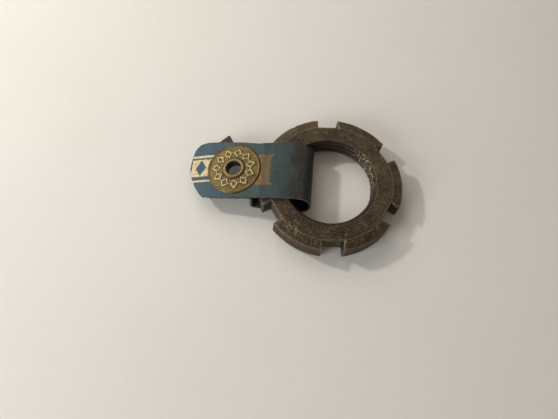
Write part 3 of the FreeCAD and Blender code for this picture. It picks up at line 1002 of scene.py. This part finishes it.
def build_eyelet():
    """Tube with a rolled flange over the disc and a clinched one under the washer."""
    wall = 0.35
    top = LAYER_GAP + DISC_THICK + LAYER_GAP
    low = -(2 * STRIP_THICK + LAYER_GAP) - LAYER_GAP - WASHER_THICK - LAYER_GAP
    bore, out, mid = EYELET_BORE, EYELET_BORE + wall, (EYELET_BORE + FLANGE_RADIUS) / 2
    half = (FLANGE_RADIUS - EYELET_BORE) / 2
    profile = (
        [(bore, low), (bore, top)]
        + arc(mid - 0.1, top + 0.02, half - 0.1, FLANGE_THICK - 0.17, 180, 40, 13)[1:]
        + [(FLANGE_RADIUS - 0.12, top + 0.08), (FLANGE_RADIUS, top + 0.02)]
        + [(FLANGE_RADIUS - 0.1, top), (out, top), (out, low), (FLANGE_RADIUS - 0.1, low)]
        + arc(mid, low - 0.02, half, FLANGE_THICK - 0.04, 0, -180, 15)[:-1]
    )
    points, faces = spun(profile, wobble=0.035, seed=31)
    radius = np.hypot(points[:, 0], points[:, 1])
    # dirt and painted shade in the bore and where the flange meets the disc
    grime = smooth_step(radius, bore + 0.3, bore + 0.05)
    grime = np.maximum(grime, smooth_step(radius, FLANGE_RADIUS - 0.3, FLANGE_RADIUS))
    # painted highlight, with some rubbing, on the top of the rolled flange
    raised = 0.2 * smooth_step(points[:, 2], top + 0.18, top + 0.28)
    return make_object("rolled_eyelet", on_eyelet(points), faces, raised=raised, grime=grime)


def build_washer():
    """Flat ring with a rounded rim, under the strip."""
    top = -(2 * STRIP_THICK + LAYER_GAP) - LAYER_GAP
    hole, half, middle = EYELET_BORE + HOLE_PLAY, WASHER_THICK / 2, top - WASHER_THICK / 2
    rim = arc(WASHER_RADIUS - half, middle, half, half, -90, 90, 7)
    profile = rim + arc(hole + 0.1, middle, 0.1, half, 90, 270, 5)
    points, faces = spun(profile, wobble=0.03, seed=41)
    return make_object("plain_washer", on_eyelet(points), faces)


def brass_look():
    """Old brass: olive-brown tarnish, rubbed brighter with a painted highlight where it stands proud,
    dirt and painted shade in its hollows.
    """
    look = Look("aged_brass", IOR=1.5)
    broad = look.grain(2.5, 4.0, 0.6, seed=1.0)
    fine = look.grain(0.3, 4.0, 0.7, seed=2.0)
    stain = look.step(look.grain(0.8, 5.0, 0.7, seed=3.0), 0.5, 0.72)
    grime = look.math("MULTIPLY", look.number("grime"), look.step(fine, 0.2, 0.6, 1.2, 0.8), clamp=True)
    colour = look.mix(look.step(broad, 0.3, 0.7), srgb(80, 65, 35), srgb(114, 98, 58))
    colour = look.mix(look.math("MULTIPLY", stain, 0.6), colour, srgb(74, 57, 32))
    colour = look.mix(look.step(fine, 0.5, 0.75, 0.0, 0.4), colour, srgb(176, 160, 118))
    # rubbed brass and a painted highlight on whatever stands proud
    rubbing_and_highlight = look.math("MULTIPLY", look.number("raised"), look.step(fine, 0.25, 0.6, 0.2, 0.65))
    colour = look.mix(rubbing_and_highlight, colour, srgb(212, 194, 142))
    # dirt and painted shade in the hollows and the bore
    colour = look.mix(grime, colour, srgb(26, 20, 13))
    roughness = look.step(broad, 0.3, 0.7, 0.4, 0.52)
    roughness = look.math("ADD", roughness, look.math("MULTIPLY", stain, 0.15))
    normal = look.bump(look.grain(0.4, 5.0, 0.7, seed=4.0), 0.06)
    return look.finish(
        Base_Color=colour,
        Metallic=look.step(grime, 0.0, 1.0, 0.75, 0.0),
        Roughness=roughness,
        Normal=normal,
    )


# ---------------------------------------------------------------- stage

CAMERA_PLACE = (-18.9, -55.7, 119.4)
CAMERA_TILT = 22.6
CAMERA_ROLL = -2.74
LENS = 31.6
SENSOR = 36.0
SKY = (1.0, 0.88, 0.77, 1)
SKY_STRENGTH = 0.26
TABLE_REACH = 1500.0
TABLE_DARK = (0.72, 0.70, 0.66, 1)
TABLE_PALE = (0.82, 0.805, 0.77, 1)

# name, azimuth, elevation, distance, size, power, colour
LIGHTS = (
    ("window", 120, 38, 340, 260, 0.40, (1.0, 0.98, 0.94)),
    ("lamp", 156, 33, 380, 24, 0.53, (1.0, 0.93, 0.84)),
    ("fill", 212, 22, 400, 200, 0.84, (0.9, 0.97, 1.0)),
)


def make_floor():
    """Pale table, tilted so that the nut's rim and the strip's lower run rest on it."""
    strip_low = in_mm(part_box("strap_back_layer")[0])[2]
    slope = strip_low / (NUT_RADIUS - BULGE_CENTRE_X)
    sides = ((-1, -1), (1, -1), (1, 1), (-1, 1))
    corners = [(sx * TABLE_REACH, sy * TABLE_REACH) for sx, sy in sides]
    points = [(x, y, (NUT_RADIUS - x) * slope) for x, y in corners]
    floor = make_object("table", points, [(0, 1, 2, 3)])
    look = Look("paper", Roughness=0.75)
    mottle = look.grain(30.0, 4.0, 0.5, seed=1.0)
    fibre = look.step(look.grain(1.6, 5.0, 0.7, seed=2.0), 0.3, 0.7, 0.35, 0.65)
    mottle = look.math("ADD", look.math("MULTIPLY", mottle, 0.5), look.math("MULTIPLY", fibre, 0.5))
    colour = look.mix(mottle, TABLE_DARK, TABLE_PALE)
    normal = look.bump(look.grain(0.9, 4.0, 0.6, seed=3.0), 0.05)
    floor.data.materials.append(look.finish(Base_Color=colour, Normal=normal))


def make_light(name, azimuth, elevation, distance, size, power, colour):
    """Square area light aimed at the nut; angles in degrees, lengths in millimetres."""
    light = bpy.data.lights.new(name, "AREA")
    light.size = size * MM
    light.energy = power
    light.color = colour
    lamp = bpy.data.objects.new(name, light)
    a, e = math.radians(azimuth), math.radians(elevation)
    toward = Vector((math.cos(a) * math.cos(e), math.sin(a) * math.cos(e), math.sin(e)))
    lamp.location = toward * distance * MM
    lamp.rotation_euler = toward.to_track_quat("Z", "Y").to_euler()
    bpy.context.scene.collection.objects.link(lamp)


def make_camera():
    """Camera a little left of the nut and below it, looking down on the table."""
    data = bpy.data.cameras.new("camera")
    data.lens = LENS
    data.sensor_width = SENSOR
    data.clip_start = 0.005
    camera = bpy.data.objects.new("camera", data)
    camera.location = Vector(CAMERA_PLACE) * MM
    camera.rotation_euler = (math.radians(CAMERA_TILT), math.radians(CAMERA_ROLL), 0)
    bpy.context.scene.collection.objects.link(camera)
    bpy.context.scene.camera = camera


def make_world():
    """Even, warm light from all round."""
    world = bpy.data.worlds.new("studio")
    world.use_nodes = True
    background = world.node_tree.nodes["Background"]
    background.inputs["Color"].default_value = SKY
    background.inputs["Strength"].default_value = SKY_STRENGTH
    bpy.context.scene.world = world
    bpy.context.scene.view_settings.view_transform = "Standard"


# ---------------------------------------------------------------- assembly


def dress(item, material, slot, *replaced):
    """Gives a piece its material and hides the CAD nodes that it stands for; slot is not used."""
    item.data.materials.append(material)
    if replaced:
        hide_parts(*replaced)
    return item


make_camera()
make_world()
make_floor()
for light in LIGHTS:
    make_light(*light)

nut = dress(build_nut(), steel_look(), "oxidised_steel", "ring_nut")
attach(nut, "nut")

strip = dress(
    make_strip(), cloth_look(), "tag_cloth", "strap_loop", "strap_face_layer", "strap_back_layer"
)
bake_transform(strip)

brass = brass_look()
disc = dress(build_disc(), brass, "aged_brass", "face_disc")
eyelet = dress(build_eyelet(), brass, "aged_brass", "eyelet")
washer = dress(build_washer(), brass, "aged_brass", "back_washer")
for piece in (disc, eyelet, washer):
    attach(piece, "tag")
